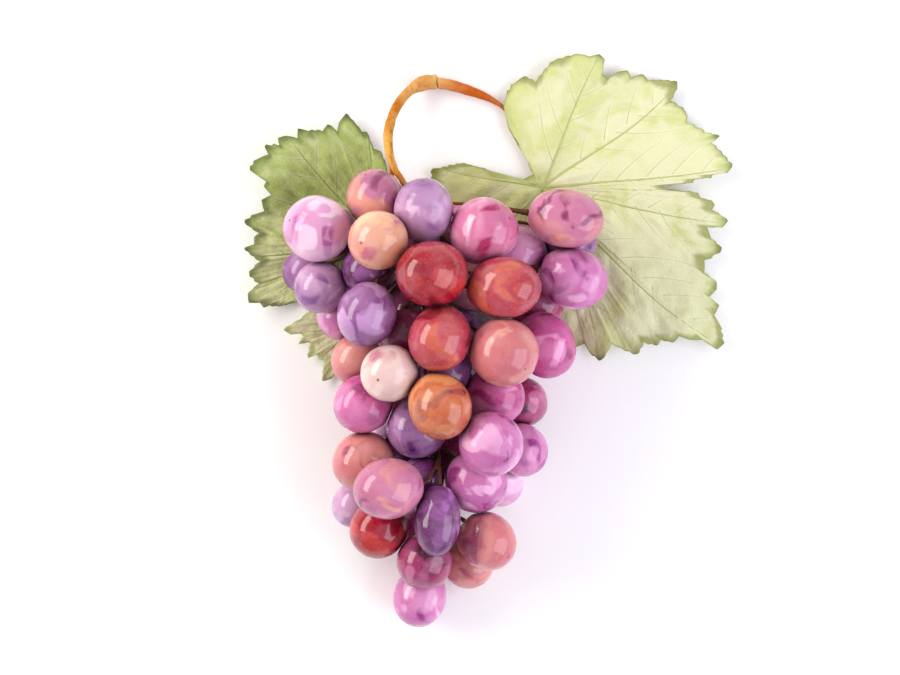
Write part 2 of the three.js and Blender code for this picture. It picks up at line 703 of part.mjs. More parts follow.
// How high a blade may lie at a place: flat under the berries, and rising away from them.
function heightLimit(berries, x, y) {
  const outside = berries.map((berry) => {
    const distance = Math.hypot(x - berry.centre.x, y - berry.centre.y);
    return distance - berry.halfWidth;
  });
  return LEAF.slope * Math.max(0, Math.min(...outside));
}

function bladeHeight(leaf, berries, x, y) {
  const [jx, jy] = leaf.junction;
  const [dx, dy] = [x / scaleAcross - jx, y / scaleAlong - jy];
  const angle = Math.atan2(dy, dx);
  const share = Math.hypot(dx, dy) / leaf.rim.reduce((most, [, r]) => Math.max(most, r), 0);
  const [middle, edge, wave] = leaf.lift;
  const ripple = wave * share * Math.sin(LEAF.ripples * angle + leaf.phase);
  const free = middle + (edge - middle) * share ** 2 + ripple;
  return Math.min(Math.max(free, 0), heightLimit(berries, x, y));
}

function bladeSolid(leaf, berries) {
  const [jx, jy] = leaf.junction;
  const spokes = leaf.rim.length;
  const positions = [];
  const addPoint = (dx, dy, raise) => {
    const { x, y } = place(jx + dx, jy + dy);
    positions.push(x, y, bladeHeight(leaf, berries, x, y) + raise);
  };
  for (const raise of [0, LEAF.thickness]) {
    addPoint(0, 0, raise);
    for (let ring = 1; ring <= LEAF.rings; ring++) {
      for (const [angle, radius] of leaf.rim) {
        const distance = (radius * ring) / LEAF.rings;
        addPoint(distance * Math.cos(angle), distance * Math.sin(angle), raise);
      }
    }
  }
  const layer = 1 + LEAF.rings * spokes;
  const at = (ring, spoke) => (ring === 0 ? 0 : 1 + (ring - 1) * spokes + (spoke % spokes));
  const faces = [];
  for (let spoke = 0; spoke < spokes; spoke++) {
    for (let ring = 0; ring < LEAF.rings; ring++) {
      const [a, b] = [at(ring, spoke), at(ring, spoke + 1)];
      const [c, d] = [at(ring + 1, spoke), at(ring + 1, spoke + 1)];
      faces.push(a + layer, c + layer, d + layer, a, d, c);
      if (ring > 0) {
        faces.push(a + layer, d + layer, b + layer, a, b, d);
      }
    }
    const [c, d] = [at(LEAF.rings, spoke), at(LEAF.rings, spoke + 1)];
    faces.push(c, d, d + layer, c, d + layer, c + layer);
  }
  const geometry = new THREE.BufferGeometry();
  geometry.setAttribute("position", new THREE.Float32BufferAttribute(positions, 3));
  geometry.setIndex(faces);
  return asSolid(geometry);
}

function petioleRadius(leaf) {
  return profile([
    [0, leaf.base], [0.25, leaf.base * 0.85], [0.45, PETIOLE.thin], [0.9, PETIOLE.thin],
    [1, PETIOLE.blade],
  ]);
}

// A petiole starts inside the stalk, so its first point is drawn to the nearest of the stalk's beads.
function petioleCurve(leaf, stalkBeads) {
  const curve = courseCurve(leaf.petiole);
  curve.points[0] = nearestCentre(curve.points[0], stalkBeads);
  return curve;
}

function petioleBeads(leaves, stalkBeads) {
  return leaves.flatMap((leaf) =>
    beadsAlong(petioleCurve(leaf, stalkBeads), PETIOLE.beads, petioleRadius(leaf)));
}

function leafSolid(leaf, berries, stalkBeads, cutters) {
  const curve = petioleCurve(leaf, stalkBeads);
  const petiole = taperedTube(curve, petioleRadius(leaf), PETIOLE.sides, PETIOLE.steps);
  const whole = petiole.add(bladeSolid(leaf, berries));
  return cutters.reduce((solid, cutter) => solid.subtract(cutter), whole);
}

// ---------------------------------------------------------------- the whole bunch

const leaves = LEAF_PLANS.map((plan) => ({ ...plan, rim: rimOf(plan.outline) }));
const berries = SEATS.map(seatedBerry);
const rachis = beadsAlong(courseCurve(RACHIS_COURSE), RACHIS.beads, rachisRadius);
const peduncleBeads = beadsAlong(courseCurve(PEDUNCLE_COURSE), PEDUNCLE.beads, peduncleRadius);
const fixed = [...petioleBeads(leaves, [...peduncleBeads, ...rachis]), ...peduncleBeads];

settle(berries, rachis, fixed);
const firstGrid = makeGrid(berries, fixed);
turnStemEnds(berries, firstGrid, waysToRachis(firstGrid, rachis));
for (const berry of berries) {
  berry.seat.copy(berry.centre);
}
settle(berries, rachis, fixed);

const stalkBeads = [...peduncleBeads, ...rachis];
const petioles = petioleBeads(leaves, stalkBeads);
const grid = makeGrid(berries, petioles);
const ways = waysToRachis(grid, rachis);
const courses = pedicelCourses(berries, rachis, petioles, grid, ways);
const grownBerries = joined(berries.map((berry) => berrySolid(berry, CLEARANCE)));
const stem = joined([peduncleTube(0), rachisTube(rachis, 0), ...courses.map(pedicelSolid)])
  .subtract(grownBerries);
const stemCutters = [peduncleTube(CLEARANCE), rachisTube(rachis, CLEARANCE), grownBerries];

const group = new THREE.Group();

function addMesh(name, geometry, colour, roughness) {
  const material = new THREE.MeshStandardMaterial({ color: colour, roughness, metalness: 0 });
  const mesh = new THREE.Mesh(geometry, material);
  mesh.name = name;
  group.add(mesh);
  return mesh;
}

addMesh("stem", asGeometry(stem), STALK.colour, STALK.roughness);
for (const leaf of leaves) {
  const solid = leafSolid(leaf, berries, stalkBeads, stemCutters);
  addMesh(leaf.name, asGeometry(solid), leaf.colour, LEAF_ROUGHNESS);
}
for (const berry of berries) {
  const mesh = addMesh(berry.name, berryGeometry(berry), SKIN[berry.skin], BERRY_ROUGHNESS);
  mesh.quaternion.copy(berryTurn(berry));
  mesh.position.copy(berry.centre);
}

const box = new THREE.Box3().setFromObject(group, true);
const middle = box.getCenter(new THREE.Vector3());
group.position.set(-middle.x, -middle.y, -box.min.z);

export default group;
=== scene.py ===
"""A bunch of red table grapes on its back, with its stalk and vine leaves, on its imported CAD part.

Laid out as a Blender add-on and run as a script. All lengths are in metres; +Y runs towards the
stalk, +Z is up, and the bunch lies on Z = 0.
"""

import json
import math
from random import Random

import bpy
import numpy as np
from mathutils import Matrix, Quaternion, Vector, noise
from mathutils.bvhtree import BVHTree
from mathutils.kdtree import KDTree


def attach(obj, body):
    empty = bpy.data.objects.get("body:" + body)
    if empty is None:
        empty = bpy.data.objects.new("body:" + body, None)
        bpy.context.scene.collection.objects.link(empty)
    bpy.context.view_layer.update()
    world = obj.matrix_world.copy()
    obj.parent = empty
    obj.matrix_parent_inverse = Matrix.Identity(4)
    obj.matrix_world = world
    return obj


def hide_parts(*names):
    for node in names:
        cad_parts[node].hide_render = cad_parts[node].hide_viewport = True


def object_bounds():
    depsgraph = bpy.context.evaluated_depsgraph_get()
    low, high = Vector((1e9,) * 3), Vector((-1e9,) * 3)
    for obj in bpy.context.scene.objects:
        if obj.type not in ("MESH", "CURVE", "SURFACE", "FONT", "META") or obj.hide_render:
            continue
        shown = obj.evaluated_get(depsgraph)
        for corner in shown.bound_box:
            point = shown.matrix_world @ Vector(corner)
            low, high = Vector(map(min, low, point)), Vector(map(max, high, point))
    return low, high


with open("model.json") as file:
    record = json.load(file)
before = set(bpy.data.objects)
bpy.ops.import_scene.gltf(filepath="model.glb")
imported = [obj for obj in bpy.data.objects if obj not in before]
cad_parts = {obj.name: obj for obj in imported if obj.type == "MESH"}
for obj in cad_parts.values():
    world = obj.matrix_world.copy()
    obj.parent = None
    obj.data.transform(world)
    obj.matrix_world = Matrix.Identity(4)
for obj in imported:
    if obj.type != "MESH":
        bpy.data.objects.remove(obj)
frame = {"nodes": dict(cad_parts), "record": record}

bl_info = {
    "name": "Bunch of Grapes",
    "version": (1, 0, 0),
    "blender": (4, 5, 0),
    "location": "View3D > Sidebar > Grapes",
    "description": "Models the berries, leaves and stalk of a bunch of grapes around its CAD part",
    "category": "Object",
}

CAD_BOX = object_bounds()
MILLIMETRE = 0.001
SLOT_OF = {part["node"]: part["material_slot"] for part in frame["record"]["subparts"]}
BERRIES = sorted(name for name in frame["nodes"] if name.startswith("berry_"))
UP = Vector((0, 0, 1))


def mm(value):
    return value * MILLIMETRE


OVERHEAD = mm(60)                    # a height above every leaf, to look down from
FLOOR_GAP = mm(0.05)                 # the lowest that a leaf or the wood may reach
CAD_BLADE = mm(0.7)                  # how thick the blades of the CAD leaves are
TOOTH_WIDTH = mm(3.4)                # from one small tooth to the next
SHORTEST_TOOTHED = mm(5)             # a shorter side of a leaf's outline has no small teeth
PRESS_SOFTNESS = mm(0.16)            # how rounded the rim of a pressed patch is
SHADE_DEPTH = mm(9)                  # how far the wood takes to darken among the berries


# ------------------------------------------------------------------ colours and the node helper


def linear(code):
    """An sRGB hex code, such as "b01f36", as linear red, green, blue and full alpha."""
    channels = [int(code[i:i + 2], 16) / 255 for i in (0, 2, 4)]
    return [c / 12.92 if c <= 0.04045 else ((c + 0.055) / 1.055) ** 2.4 for c in channels] + [1.0]


# Grape skins: the body colour, the deeper one where it is ripest and which also tints the painted
# shade where berries touch, and a lighter flush.
SKINS = {
    "pink": ("dc9fc6", "b35f9c", "f0cfe2"),
    "lilac": ("b486ae", "854f8c", "d9b4d2"),
    "orchid": ("c56fa8", "94307c", "e2a8cc"),
    "mauve": ("c37697", "8a355f", "dc9686"),
    "rose": ("cc7299", "a9265a", "e6adc5"),
    "crimson": ("9c0b26", "5c0319", "b82f2c"),
    "coral": ("b23c4c", "861a30", "c8604e"),
    "amber": ("c0633c", "861838", "d28a58"),
    "apricot": ("df9f80", "c0647a", "ecbf98"),
    "blush": ("c97276", "a04662", "de9c8a"),
    "magenta": ("c0508e", "8c2060", "df92bf"),
    "violet": ("874f86", "4c2259", "b98aba"),
    "plum": ("682a62", "34103c", "a060a2"),
    "wine": ("962f5e", "541034", "bd6590"),
    "shell": ("e0c0bb", "bd7a86", "f0e0d2"),
}

# Leaf blades: the pale wash, the green wash, and the olive of the curled edges.
BLADES = {
    "leaf_right": ("d8d8ae", "c5cb84", "868c38"),
    "leaf_left": ("d3da9c", "a4b562", "56642a"),
    "leaf_lower_left": ("e3e8ba", "cbd598", "a3b064"),
}


def add_node(tree, kind, inputs=None, **settings):
    """Adds a shader node, sets its properties, and sets or links its inputs."""
    node = tree.nodes.new(kind)
    for name, value in settings.items():
        setattr(node, name, value)
    for name, value in (inputs or {}).items():
        if isinstance(value, bpy.types.NodeSocket):
            tree.links.new(value, node.inputs[name])
        else:
            node.inputs[name].default_value = value
    return node


def mix_codes(first, second, share):
    """A colour part of the way from one hex code to another."""
    return [a + (b - a) * share for a, b in zip(linear(first), linear(second))]


def new_material(name):
    """An empty node material with its output and object coordinates ready."""
    material = bpy.data.materials.new(name)
    material.use_nodes = True
    tree = material.node_tree
    tree.nodes.clear()
    output = add_node(tree, "ShaderNodeOutputMaterial")
    place = add_node(tree, "ShaderNodeTexCoord").outputs["Object"]
    return material, tree, output, place


def ramp_stops(ramp_node, stops):
    """Gives a colour ramp its (position, linear colour) stops."""
    ramp = ramp_node.color_ramp
    while len(ramp.elements) < len(stops):
        ramp.elements.new(1.0)
    for element, (position, colour) in zip(ramp.elements, stops):
        element.position = position
        element.color = colour
    return ramp_node.outputs["Color"]


def grey(value):
    return (value, value, value, 1.0)


def ramped(tree, factor, *stops):
    """A colour ramp with (position, linear colour) stops, read at a factor."""
    return ramp_stops(add_node(tree, "ShaderNodeValToRGB", {"Fac": factor}), stops)


def mixed(tree, factor, first, second):
    """The first colour at factor 0, and the second at 1."""
    return add_node(tree, "ShaderNodeMix", {"Factor": factor, "A": first, "B": second},
                    data_type="RGBA").outputs["Result"]


def stored(tree, name):
    """A number that the mesh stores for each vertex."""
    return add_node(tree, "ShaderNodeAttribute", attribute_name=name).outputs["Fac"]


# ------------------------------------------------------------------ sizes and colours a user sets


def length_property(name, description, millimetres):
    return bpy.props.FloatProperty(
        name=name, description=description, default=mm(millimetres), min=0.0,
        subtype="DISTANCE", unit="LENGTH", precision=5)


def share_property(name, description, default):
    return bpy.props.FloatProperty(
        name=name, description=description, default=default, min=0.0, max=1.0, subtype="FACTOR")


def colour_property(name, description, code):
    return bpy.props.FloatVectorProperty(
        name=name, description=description, default=linear(code)[:3], size=3, min=0.0, max=1.0,
        subtype="COLOR")


class GrapesBerrySettings(bpy.types.PropertyGroup):
    """The shape of a berry."""

    segments: bpy.props.IntProperty(
        name="Segments", description="Faces around a berry", default=48, min=12)
    rings: bpy.props.IntProperty(
        name="Rings", description="Faces from the stem end to the tip", default=32, min=8)
    swell: length_property("Swell", "How far the skin stands out to meet its neighbours", 0.4)
    dimple: length_property("Dimple", "Depth of the hollow that the pedicel sits in", 0.9)
    scar: length_property("Scar", "Radius of the flower scar at the tip", 0.65)
    lumpiness: share_property("Lumpiness", "Unevenness, as a share of the radius", 0.018)


class GrapesLeafSettings(bpy.types.PropertyGroup):
    """The shape of a leaf blade."""

    spacing: length_property("Spacing", "Distance between points along the rim", 0.75)
    thickness: length_property("Thickness", "Thickness of the blade", 0.4)
    vein_width: length_property("Vein width", "Width of a main vein where it starts", 1.5)
    quilting: length_property("Quilting", "How far the blade swells between its veins", 0.4)
    serration: length_property("Serration", "Depth of the small teeth between the large", 0.9)


class GrapesStalkSettings(bpy.types.PropertyGroup):
    """The shape and colour of the stalk and the petioles."""

    voxel: length_property("Voxel", "Size of the cells that smooth the wood", 0.42)
    ridges: length_property("Ridges", "Height of the ridges along the wood", 0.16)
    knobs: length_property("Knobs", "Height of the lumps on the elbow", 0.9)
    shade_line: bpy.props.FloatProperty(
        name="Shade line", description="Where along Y the wood goes in among the berries",
        default=mm(61), subtype="DISTANCE", unit="LENGTH", precision=5)
    wood: colour_property("Wood", "The ochre of the stalk", "bb6c12")
    petiole: colour_property("Petiole", "The orange of the petioles", "b9560a")
    bark: colour_property("Bark", "The brown in its furrows", "8f4d12")
    straw_and_highlight: colour_property("Straw", "The pale yellow where light catches it", "ebcb85")


class GrapesStageSettings(bpy.types.PropertyGroup):
    """The camera, the lights and the floor."""

    lens: bpy.props.FloatProperty(
        name="Lens", description="Focal length of the camera", default=135.0, min=1.0,
        subtype="DISTANCE_CAMERA", unit="CAMERA")
    view_width: length_property("View width", "Width seen at half the bunch's height", 360)
    beside: length_property("Beside", "How far the view's middle is left of the bunch's", 15.5)
    key_power: bpy.props.FloatProperty(
        name="Key power", description="Power of the softbox", default=11.0, min=0.0,
        subtype="POWER", unit="POWER")
    fill_power: bpy.props.FloatProperty(
        name="Fill power", description="Power of the fill light", default=11.0, min=0.0,
        subtype="POWER", unit="POWER")
    sky: bpy.props.FloatProperty(
        name="Sky", description="Strength of the light from all round", default=0.56, min=0.0)
    floor: colour_property("Floor", "The pale floor", "fbfafa")


# ------------------------------------------------------------------ mesh helpers


def deselect_all():
    if bpy.context.object and bpy.context.object.mode != "OBJECT":
        bpy.ops.object.mode_set(mode="OBJECT")
    bpy.ops.object.select_all(action="DESELECT")


def make_active(piece):
    deselect_all()
    piece.select_set(True)
    bpy.context.view_layer.objects.active = piece


def select_points(piece, chosen):
    """Opens a piece in edit mode with only the vertices of the given numbers selected."""
    make_active(piece)
    bpy.ops.object.mode_set(mode="EDIT")
    bpy.context.tool_settings.mesh_select_mode = (True, False, False)
    bpy.ops.mesh.select_all(action="DESELECT")
    bpy.ops.object.mode_set(mode="OBJECT")
    for vertex in piece.data.vertices:
        vertex.select = vertex.index in chosen
    bpy.ops.object.mode_set(mode="EDIT")


def points_of(mesh):
    """A mesh's vertices as an array of places."""
    flat = np.empty(len(mesh.vertices) * 3)
    mesh.vertices.foreach_get("co", flat)
    return flat.reshape(-1, 3)


def set_points(mesh, points):
    mesh.vertices.foreach_set("co", np.asarray(points, dtype=np.float32).ravel())
    mesh.update()


def set_attribute(mesh, name, values):
    """Stores one number for each vertex, for a material to read."""
    attribute = mesh.attributes.new(name, "FLOAT", "POINT")
    attribute.data.foreach_set("value", np.asarray(values, dtype=np.float32))


def apply_modifier(piece, kind, **settings):
    modifier = piece.modifiers.new(kind.title(), kind)
    for name, value in settings.items():
        setattr(modifier, name, value)
    make_active(piece)
    bpy.ops.object.modifier_apply(modifier=modifier.name)


def finish_piece(piece, nodes, material):
    """Gives a piece its smooth shading and material, and its place in the frame's table."""
    for face in piece.data.polygons:
        face.use_smooth = True
    piece.data.materials.clear()
    piece.data.materials.append(material)
    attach(piece, "root")
    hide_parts(*nodes)


def merged_copy(node, name):
    """A copy of a CAD node with its loose triangles joined."""
    piece = bpy.data.objects.new(name, frame["nodes"][node].data.copy())
    bpy.context.scene.collection.objects.link(piece)
    make_active(piece)
    bpy.ops.object.mode_set(mode="EDIT")
    bpy.ops.mesh.select_all(action="SELECT")
    bpy.ops.mesh.remove_doubles(threshold=mm(0.002))
    bpy.ops.object.mode_set(mode="OBJECT")
    return piece


# ------------------------------------------------------------------ the berries


def stalk_tree():
    points = points_of(frame["nodes"]["stem"].data)
    tree = KDTree(len(points))
    for i, point in enumerate(points):
        tree.insert(point, i)
    tree.balance()
    return tree


def read_berry(name, stalk):
    """A berry's centre, axis towards its tip, half length and half width, from its CAD solid.

    The CAD berry is turned on a lathe, so more faces meet at its two ends than anywhere else.
    The stem end is the one that is nearer the stalk.
    """
    mesh = frame["nodes"][name].data
    points = points_of(mesh)
    corners = np.array([points[i] for face in mesh.polygons for i in face.vertices])
    places, counts = np.unique(np.round(corners, 6), axis=0, return_counts=True)
    ends = places[np.argsort(counts)[-2:]]
    reach = [stalk.find(end)[2] for end in ends]
    stem_end, tip = (Vector(ends[i]) for i in np.argsort(reach))
    centre = (stem_end + tip) / 2
    axis = (tip - stem_end).normalized()
    offsets = places - np.array(centre)
    along = offsets @ np.array(axis)
    half_width = np.sqrt(((offsets - along[:, None] * np.array(axis)) ** 2).sum(1)).max()
    return {
        "name": name, "centre": centre, "axis": axis, "half_length": (tip - stem_end).length / 2,
        "half_width": float(half_width), "lowest": float(points[:, 2].min()),
    }


def surface_distance(berry, direction):
    along = direction.dot(berry["axis"])
    return 1 / math.sqrt(
        (along / berry["half_length"]) ** 2 + (1 - along ** 2) / berry["half_width"] ** 2)


def model_berry(sizes, half_width):
    """One berry of radius 1 with its stem end at -Z: a sphere with a dimple and a flower scar."""
    deselect_all()
    bpy.ops.mesh.primitive_uv_sphere_add(
        segments=sizes.segments, ring_count=sizes.rings, radius=1.0, location=(0, 0, 0))
    berry = bpy.context.object
    berry.name = "berry_pattern"
    ends = (
        (-1.0, sizes.dimple / half_width, 0.42, "SMOOTH"),
        (1.0, -0.25 * sizes.scar / half_width, 2.2 * sizes.scar / half_width, "ROOT"),
    )
    for height, push, spread, falloff in ends:
        pole = [v.index for v in berry.data.vertices if abs(v.co.z - height) < 1e-4]
        select_points(berry, pole)
        bpy.ops.transform.translate(
            value=(0, 0, push), use_proportional_edit=True, proportional_size=spread,
            proportional_edit_falloff=falloff)
        bpy.ops.object.mode_set(mode="OBJECT")
    return berry


def lumps(directions, seed, amount):
    """A gentle unevenness over the unit directions, different for each berry."""
    draw = Random(seed)
    offset = Vector((draw.uniform(-9, 9), draw.uniform(-9, 9), draw.uniform(-9, 9)))
    return np.array([
        1 + amount * noise.noise(Vector(d) * 1.3 + offset) + amount * 0.35 *
        noise.noise(Vector(d) * 3.1 + offset) for d in directions])


def press(points, normal, limit, softness):
    """Flattens what stands beyond a plane, with a soft shoulder."""
    beyond = points @ normal - limit
    kept = -softness * np.logaddexp(0, -beyond / softness)
    return points + (kept - beyond)[:, None] * normal


def gap_beside(points, other):
    """How far each point is from another berry's surface."""
    lines = points - np.array(other["centre"])
    distances = np.sqrt((lines ** 2).sum(1))
    along = lines @ np.array(other["axis"]) / distances
    surface = 1 / np.sqrt(
        (along / other["half_length"]) ** 2 + (1 - along ** 2) / other["half_width"] ** 2)
    return distances - surface


def shape_berry(piece, berry, others, sizes, seed):
    """Turns the pattern into one berry at its place, pressed flat where it meets its neighbours."""
    pattern = points_of(piece.data)
    along = pattern[:, 2].copy()
    uneven = lumps(pattern, seed, sizes.lumpiness)
    scale = np.array([berry["half_width"], berry["half_width"], berry["half_length"]])
    points = pattern * uneven[:, None] * (scale + sizes.swell)
    roll = Quaternion((0, 0, 1), Random(seed).uniform(0, math.tau))
    turn = UP.rotation_difference(berry["axis"]) @ roll
    points = points @ np.array(turn.to_matrix()).T + np.array(berry["centre"])
    for other in others:
        line = other["centre"] - berry["centre"]
        direction = line.normalized()
        mine = surface_distance(berry, direction)
        theirs = surface_distance(other, direction)
        if line.length > mine + theirs + 3 * sizes.swell:
            continue
        meeting = np.array(berry["centre"]) + np.array(direction) * (
            line.length * mine / (mine + theirs) - mm(0.04))
        normal = np.array(direction)
        points = press(points, normal, meeting @ normal, PRESS_SOFTNESS)
    down = np.array((0.0, 0.0, -1.0))
    points = press(points, down, -berry["lowest"], PRESS_SOFTNESS)
    set_points(piece.data, points)
    set_attribute(piece.data, "along", along)
    beside_axis = np.hypot(pattern[:, 0], pattern[:, 1]) * berry["half_width"]
    set_attribute(piece.data, "beside_axis", np.where(along > 0, beside_axis, berry["half_width"]))
    gap = np.min([gap_beside(points, other) for other in others], axis=0)
    # Painted shade: how near each point lies to a neighbouring berry, so the material can darken the
    # skin where berries touch.
    set_attribute(piece.data, "crevice_shade", np.exp(-np.maximum(gap, 0) / mm(2.4)))


class GRAPES_OT_berries(bpy.types.Operator):
    """Model one berry, and copy it to the place of each CAD berry"""

    bl_idname = "grapes.berries"
    bl_label = "Berries"

    def execute(self, context):
        sizes = context.scene.grapes_berry
        stalk = stalk_tree()
        berries = [read_berry(name, stalk) for name in BERRIES]
        typical = sum(berry["half_width"] for berry in berries) / len(berries)
        pattern = model_berry(sizes, typical)
        skins = {name: grape_skin(name, codes) for name, codes in SKINS.items()}
        for number, berry in enumerate(berries):
            piece = pattern.copy()
            piece.data = pattern.data.copy()
            piece.name = berry["name"].replace("berry", "grape")
            context.scene.collection.objects.link(piece)
            others = [other for other in berries if other is not berry]
            shape_berry(piece, berry, others, sizes, 100 + number)
            slot = SLOT_OF[berry["name"]]
            skin = skins[slot.removeprefix("skin_")]
            finish_piece(piece, [berry["name"]], skin)
        bpy.data.objects.remove(pattern)
        return {"FINISHED"}


# Ripe grape skin: smooth and thin over clear flesh, so it glows a little and mirrors the light in
# a sharp glint. Colour lies in it in broad patches, with pale pores and a film of bloom, and a
# painted shade of deep plum darkens it where berries touch.
def grape_skin(name, codes):
    body, deep, flush = (linear(code) for code in codes)
    material, tree, output, place = new_material(f"grape_skin_{name}")

    def noise_at(millimetres, **inputs):
        values = {"Vector": place, "Scale": 1 / mm(millimetres), **inputs}
        return add_node(tree, "ShaderNodeTexNoise", values).outputs["Fac"]

    patches = noise_at(15, Detail=2.0, Roughness=0.4, Distortion=0.9)
    patched = ramped(tree, patches, (0.33, deep), (0.4, body), (0.58, body), (0.64, flush))
    washes = noise_at(24, Detail=1.0, Roughness=0.4, Distortion=1.4)
    washed = mixed(tree, ramped(tree, washes, (0.46, grey(0.0)), (0.56, grey(0.4))), patched, flush)
    along = stored(tree, "along")
    tip = add_node(tree, "ShaderNodeMapRange", {
        "Value": along, "From Min": 0.5, "From Max": 1.0, "To Min": 0.0, "To Max": 0.35})
    ripe = mixed(tree, tip.outputs["Result"], washed, deep)
    # Painted shade: the skin darkens towards deep plum where it nears another berry, with an uneven
    # edge.
    crevice_shade = stored(tree, "crevice_shade")
    uneven = add_node(tree, "ShaderNodeMath", {0: patches, 1: 0.45, 2: -0.22},
                      operation="MULTIPLY_ADD").outputs["Value"]
    painted_shade_mask = add_node(tree, "ShaderNodeMath", {0: crevice_shade, 1: uneven}, operation="ADD")
    shaded = mixed(
        tree, ramped(tree, painted_shade_mask.outputs["Value"], (0.28, grey(0.0)), (0.8, grey(0.9))), ripe,
        mix_codes(codes[1], "420a2e", 0.5))
    pores = add_node(tree, "ShaderNodeTexVoronoi", {"Vector": place, "Scale": 1 / mm(1.5)})
    dotted = mixed(
        tree, ramped(tree, pores.outputs["Distance"], (0.1, grey(0.14)), (0.2, grey(0.0))), shaded,
        linear("f3dcd9"))
    film = noise_at(7, Detail=4.0, Roughness=0.55)
    bloomed = mixed(
        tree, ramped(tree, film, (0.45, grey(0.0)), (0.7, grey(0.07))), dotted, linear("e6d9ee"))
    beside_axis = stored(tree, "beside_axis")
    scar = add_node(tree, "ShaderNodeMapRange", {
        "Value": beside_axis, "From Min": mm(0.45), "From Max": mm(0.75), "To Min": 0.75,
        "To Max": 0.0})
    colour = mixed(tree, scar.outputs["Result"], bloomed, linear("6b4a2c"))
    roughness = add_node(tree, "ShaderNodeMapRange", {
        "Value": film, "From Min": 0.4, "From Max": 0.7, "To Min": 0.22, "To Max": 0.36})
    bump = add_node(tree, "ShaderNodeBump", {
        "Height": noise_at(0.9, Detail=3.0), "Strength": 0.12, "Distance": mm(0.05)})
    shader = add_node(tree, "ShaderNodeBsdfPrincipled", {
        "Base Color": colour, "Roughness": roughness.outputs["Result"],
        "IOR": 1.42, "Normal": bump.outputs["Normal"], "Specular IOR Level": 0.2,
        "Subsurface Weight": 0.3, "Subsurface Radius": (1.0, 0.45, 0.55),
        "Subsurface Scale": mm(2.5),
        "Coat Weight": 0.7, "Coat Roughness": 0.04, "Coat IOR": 1.5})
    tree.links.new(shader.outputs["BSDF"], output.inputs["Surface"])
    return material


# ------------------------------------------------------------------ the leaves

# Each leaf's junction as shares of its blade's box, its main veins as [degrees, millimetres], how
# green it is (0 pale, 1 olive) at angles about the junction, partly its own green and partly painted
# shade on the lobe halves turned from the light, and its number for the random draws.
LEAF_PLANS = {
    "leaf_right": {
        "junction": (0.369, 0.568), "seed": 5,
        "veins": ((67, 57), (37, 68), (5.4, 75), (-11.6, 74), (-42.2, 97), (-71.6, 73), (-130, 43),
                  (170, 44)),
        "greens_and_shades": ((-180, 0.45), (-150, 0.6), (-100, 0.12), (-71, 0.1), (-42, 0.2), (-12, 0.22),
                  (5, 0.15), (37, 0.15), (60, 0.26), (80, 0.32), (110, 0.38), (145, 0.6),
                  (165, 0.65), (172, 0.5), (180, 0.45)),
    },
    "leaf_left": {
        "junction": (0.846, 0.34), "seed": 11,
        "veins": ((96, 68), (131, 70), (158, 56), (187, 52), (207, 46), (260, 12), (52, 26)),
        "greens_and_shades": ((-180, 0.28), (-120, 0.0), (0, 0.2), (90, 0.55), (120, 0.45), (150, 0.45),
                  (180, 0.35)),
    },
    "leaf_lower_left": {
        "junction": (0.841, 0.8), "seed": 17,
        "veins": ((165, 30), (190, 36), (217, 33), (240, 30), (262, 20), (300, 14)),
        "greens_and_shades": ((-180, 0.1), (-120, 0.1), (0, 0.2), (120, 0.2), (180, 0.1)),
    },
}


def cad_tree(nodes):
    """One search tree over the surfaces of several CAD nodes."""
    corners, faces = [], []
    for node in nodes:
        mesh = frame["nodes"][node].data
        faces += [[i + len(corners) for i in face.vertices] for face in mesh.polygons]
        corners += [vertex.co.copy() for vertex in mesh.vertices]
    return BVHTree.FromPolygons(corners, faces)


def read_rim(node, plan):
    """A blade's junction and the corners of its outline about it, from the walls of its CAD solid.

    A wall corner has its partner straight above it, a blade's thickness away.
    """
    mesh = frame["nodes"][node].data
    points = points_of(mesh)
    corners = set()
    for face in mesh.polygons:
        if abs(face.normal.z) > 0.1:
            continue
        for a, b in face.edge_keys:
            across = math.hypot(points[a][0] - points[b][0], points[a][1] - points[b][1])
            if across < mm(0.01) and abs(abs(points[a][2] - points[b][2]) - CAD_BLADE) < mm(0.1):
                corners.add((round(float(points[a][0]), 5), round(float(points[a][1]), 5)))
    corners = np.array(sorted(corners))
    low, high = corners.min(0), corners.max(0)
    junction = low + (high - low) * np.array(plan["junction"])
    offsets = corners - junction
    order = np.argsort(np.arctan2(offsets[:, 1], offsets[:, 0]))
    return junction, offsets[order]


def fine_rim(corners, sizes, draw):
    """Points all along the outline, and the same points drawn out into teeth with bulging sides."""
    plain, toothed = [], []
    for start, end in zip(corners, np.roll(corners, -1, axis=0)):
        length = np.hypot(*(end - start))
        steps = max(1, round(length / sizes.spacing))
        teeth = round(length / TOOTH_WIDTH) if length > SHORTEST_TOOTHED else 0
        bulge = min(0.03 * length, mm(0.35))
        depth = sizes.serration * draw.uniform(0.5, 1.2)
        for i in range(steps):
            t = i / steps
            point = start + (end - start) * t
            swell = bulge * math.sin(math.pi * t)
            tooth = depth * (1 - abs(2 * (teeth * t % 1) - 1))
            plain.append(point)
            toothed.append(point * (1 + (swell + (tooth if teeth else 0)) / np.hypot(*point)))
    return np.array(plain), np.array(toothed)


def rim_reach(rim, angle):
    """How far the outline is from the junction at an angle."""
    angles = np.unwrap(np.arctan2(rim[:, 1], rim[:, 0]))
    turned = angles[0] + (angle - angles[0]) % math.tau
    return float(np.interp(turned, angles, np.hypot(rim[:, 0], rim[:, 1])))


